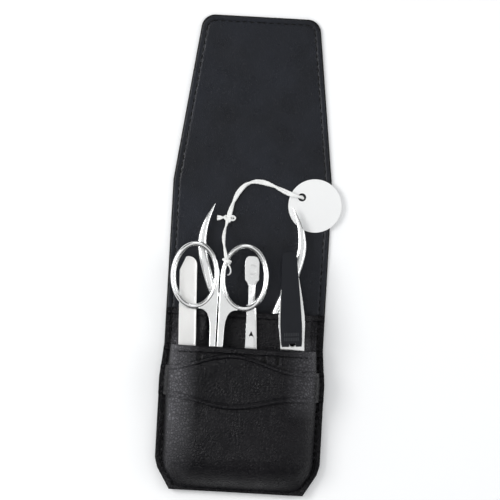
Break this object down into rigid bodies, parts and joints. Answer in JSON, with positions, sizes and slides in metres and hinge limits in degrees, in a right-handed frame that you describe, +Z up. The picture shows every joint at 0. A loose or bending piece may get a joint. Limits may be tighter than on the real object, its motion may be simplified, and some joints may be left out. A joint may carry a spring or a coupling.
{
  "type": "manicure set case",
  "caption": "Folding leather manicure case with sewn pockets that hold scissors, nippers, clipper, file and pusher.",
  "frame": {"origin": "under the middle of the opened case, on the surface that it lies on", "axes": "+X across the case to the right, +Y along it to the flap's end, +Z up out of the face with the tools"},
  "size_m": [0.0725, 0.2, 0.0173],
  "materials": {
    "leather": "soft grained black leather",
    "lining": "smooth black lining, a little blue",
    "steel": "polished steel",
    "spring_steel": "brushed",
    "file_steel": "fine satin grit with a polished rim",
    "black_plastic": "satin",
    "card": "white card",
    "cotton": "white cotton string"
  },
  "bodies": {
    "case": {"back_leather": "leather", "back_lining": "lining", "rear_pocket": "leather", "front_pocket": "leather", "closing_band": "leather"},
    "spine": {"spine_leather": "leather", "spine_lining": "lining"},
    "flap": {"flap_leather": "leather", "flap_lining": "lining"},
    "scissors": {"scissor_half_right": "steel", "scissor_screw": "steel", "string_loop": "cotton", "string_knot": "cotton", "tag_string": "cotton"},
    "scissors_left": {"scissor_half_left": "steel"},
    "tag_card": {"tag": "card"},
    "nippers": {"nipper_half_left": "steel", "nipper_rivet": "steel", "leaf_spring_left": "spring_steel", "spring_screw_left": "steel"},
    "nippers_right": {"nipper_half_right": "steel", "leaf_spring_right": "spring_steel", "spring_screw_right": "steel"},
    "clipper": {"clipper_lower_arm": "steel", "clipper_tail_rivet": "steel"},
    "clipper_top": {"clipper_upper_arm": "steel"},
    "swivel_pin": {"clipper_pin": "steel"},
    "lever": {"clipper_lever": "steel", "lever_cover": "black_plastic"},
    "file": {"nail_file": "file_steel"},
    "pusher": {"cuticle_pusher": "steel"}
  },
  "joints": [
    {"name": "spine_fold", "type": "hinge", "parent": "case", "child": "spine", "pos_m": [0, 0.0225, 0.0016], "axis": [-1, 0, 0], "range_deg": [-90, 0], "deforming": ["tag_string", "string_knot", "tag"]},
    {"name": "flap_fold", "type": "hinge", "parent": "spine", "child": "flap", "pos_m": [0, 0.03855, 0.0016], "axis": [-1, 0, 0], "range_deg": [-90, 0]},
    {"name": "scissors_slide", "type": "slide", "parent": "case", "child": "scissors", "axis": [0, 1, 0], "range_m": [0, 0.05]},
    {"name": "scissors_open", "type": "hinge", "parent": "scissors", "child": "scissors_left", "pos_m": [-0.0115, -0.0547, 0.0117], "axis": [0, 0, 1], "range_deg": [0, 25]},
    {"name": "tag_slide", "type": "slide", "parent": "scissors", "child": "tag_card", "axis": [0, 1, 0], "range_m": [-0.0126, 0]},
    {"name": "nippers_slide", "type": "slide", "parent": "case", "child": "nippers", "axis": [0, 1, 0], "range_m": [0, 0.07]},
    {"name": "nippers_squeeze", "type": "hinge", "parent": "nippers", "child": "nippers_right", "pos_m": [0.0012, -0.053, 0.0046], "axis": [0, 0, 1], "range_deg": [0, 12], "stiffness_Nm_per_rad": 0.05, "deforming": ["leaf_spring_left", "leaf_spring_right"]},
    {"name": "clipper_slide", "type": "slide", "parent": "case", "child": "clipper", "axis": [-0.0767, 0.9971, 0], "range_m": [0, 0.03]},
    {"name": "clipper_squeeze", "type": "hinge", "parent": "clipper", "child": "clipper_top", "pos_m": [0.01748, -0.0018, 0.00985], "axis": [0.9971, 0.0767, 0], "range_deg": [0, 0.8], "stiffness_Nm_per_rad": 2},
    {"name": "pin_swivel", "type": "hinge", "parent": "clipper", "child": "swivel_pin", "pos_m": [0.0201, -0.0359, 0.012], "axis": [0, 0, -1], "range_deg": [0, 90]},
    {"name": "lever_tilt", "type": "hinge", "parent": "swivel_pin", "child": "lever", "pos_m": [0.0201, -0.0359, 0.01505], "axis": [0.9971, 0.0767, 0], "range_deg": [0, 130]},
    {"name": "file_slide", "type": "slide", "parent": "case", "child": "file", "axis": [-0.0384, 0.9993, 0], "range_m": [0, 0.055]},
    {"name": "pusher_slide", "type": "slide", "parent": "case", "child": "pusher", "axis": [-0.0384, 0.9993, 0], "range_m": [0, 0.055]}
  ],
  "couplings": [
    {"joint": "flap_fold", "follows": "spine_fold", "ratio": 1},
    {"joint": "tag_slide", "follows": "spine_fold", "m_per_rad": 0.007958}
  ]
}
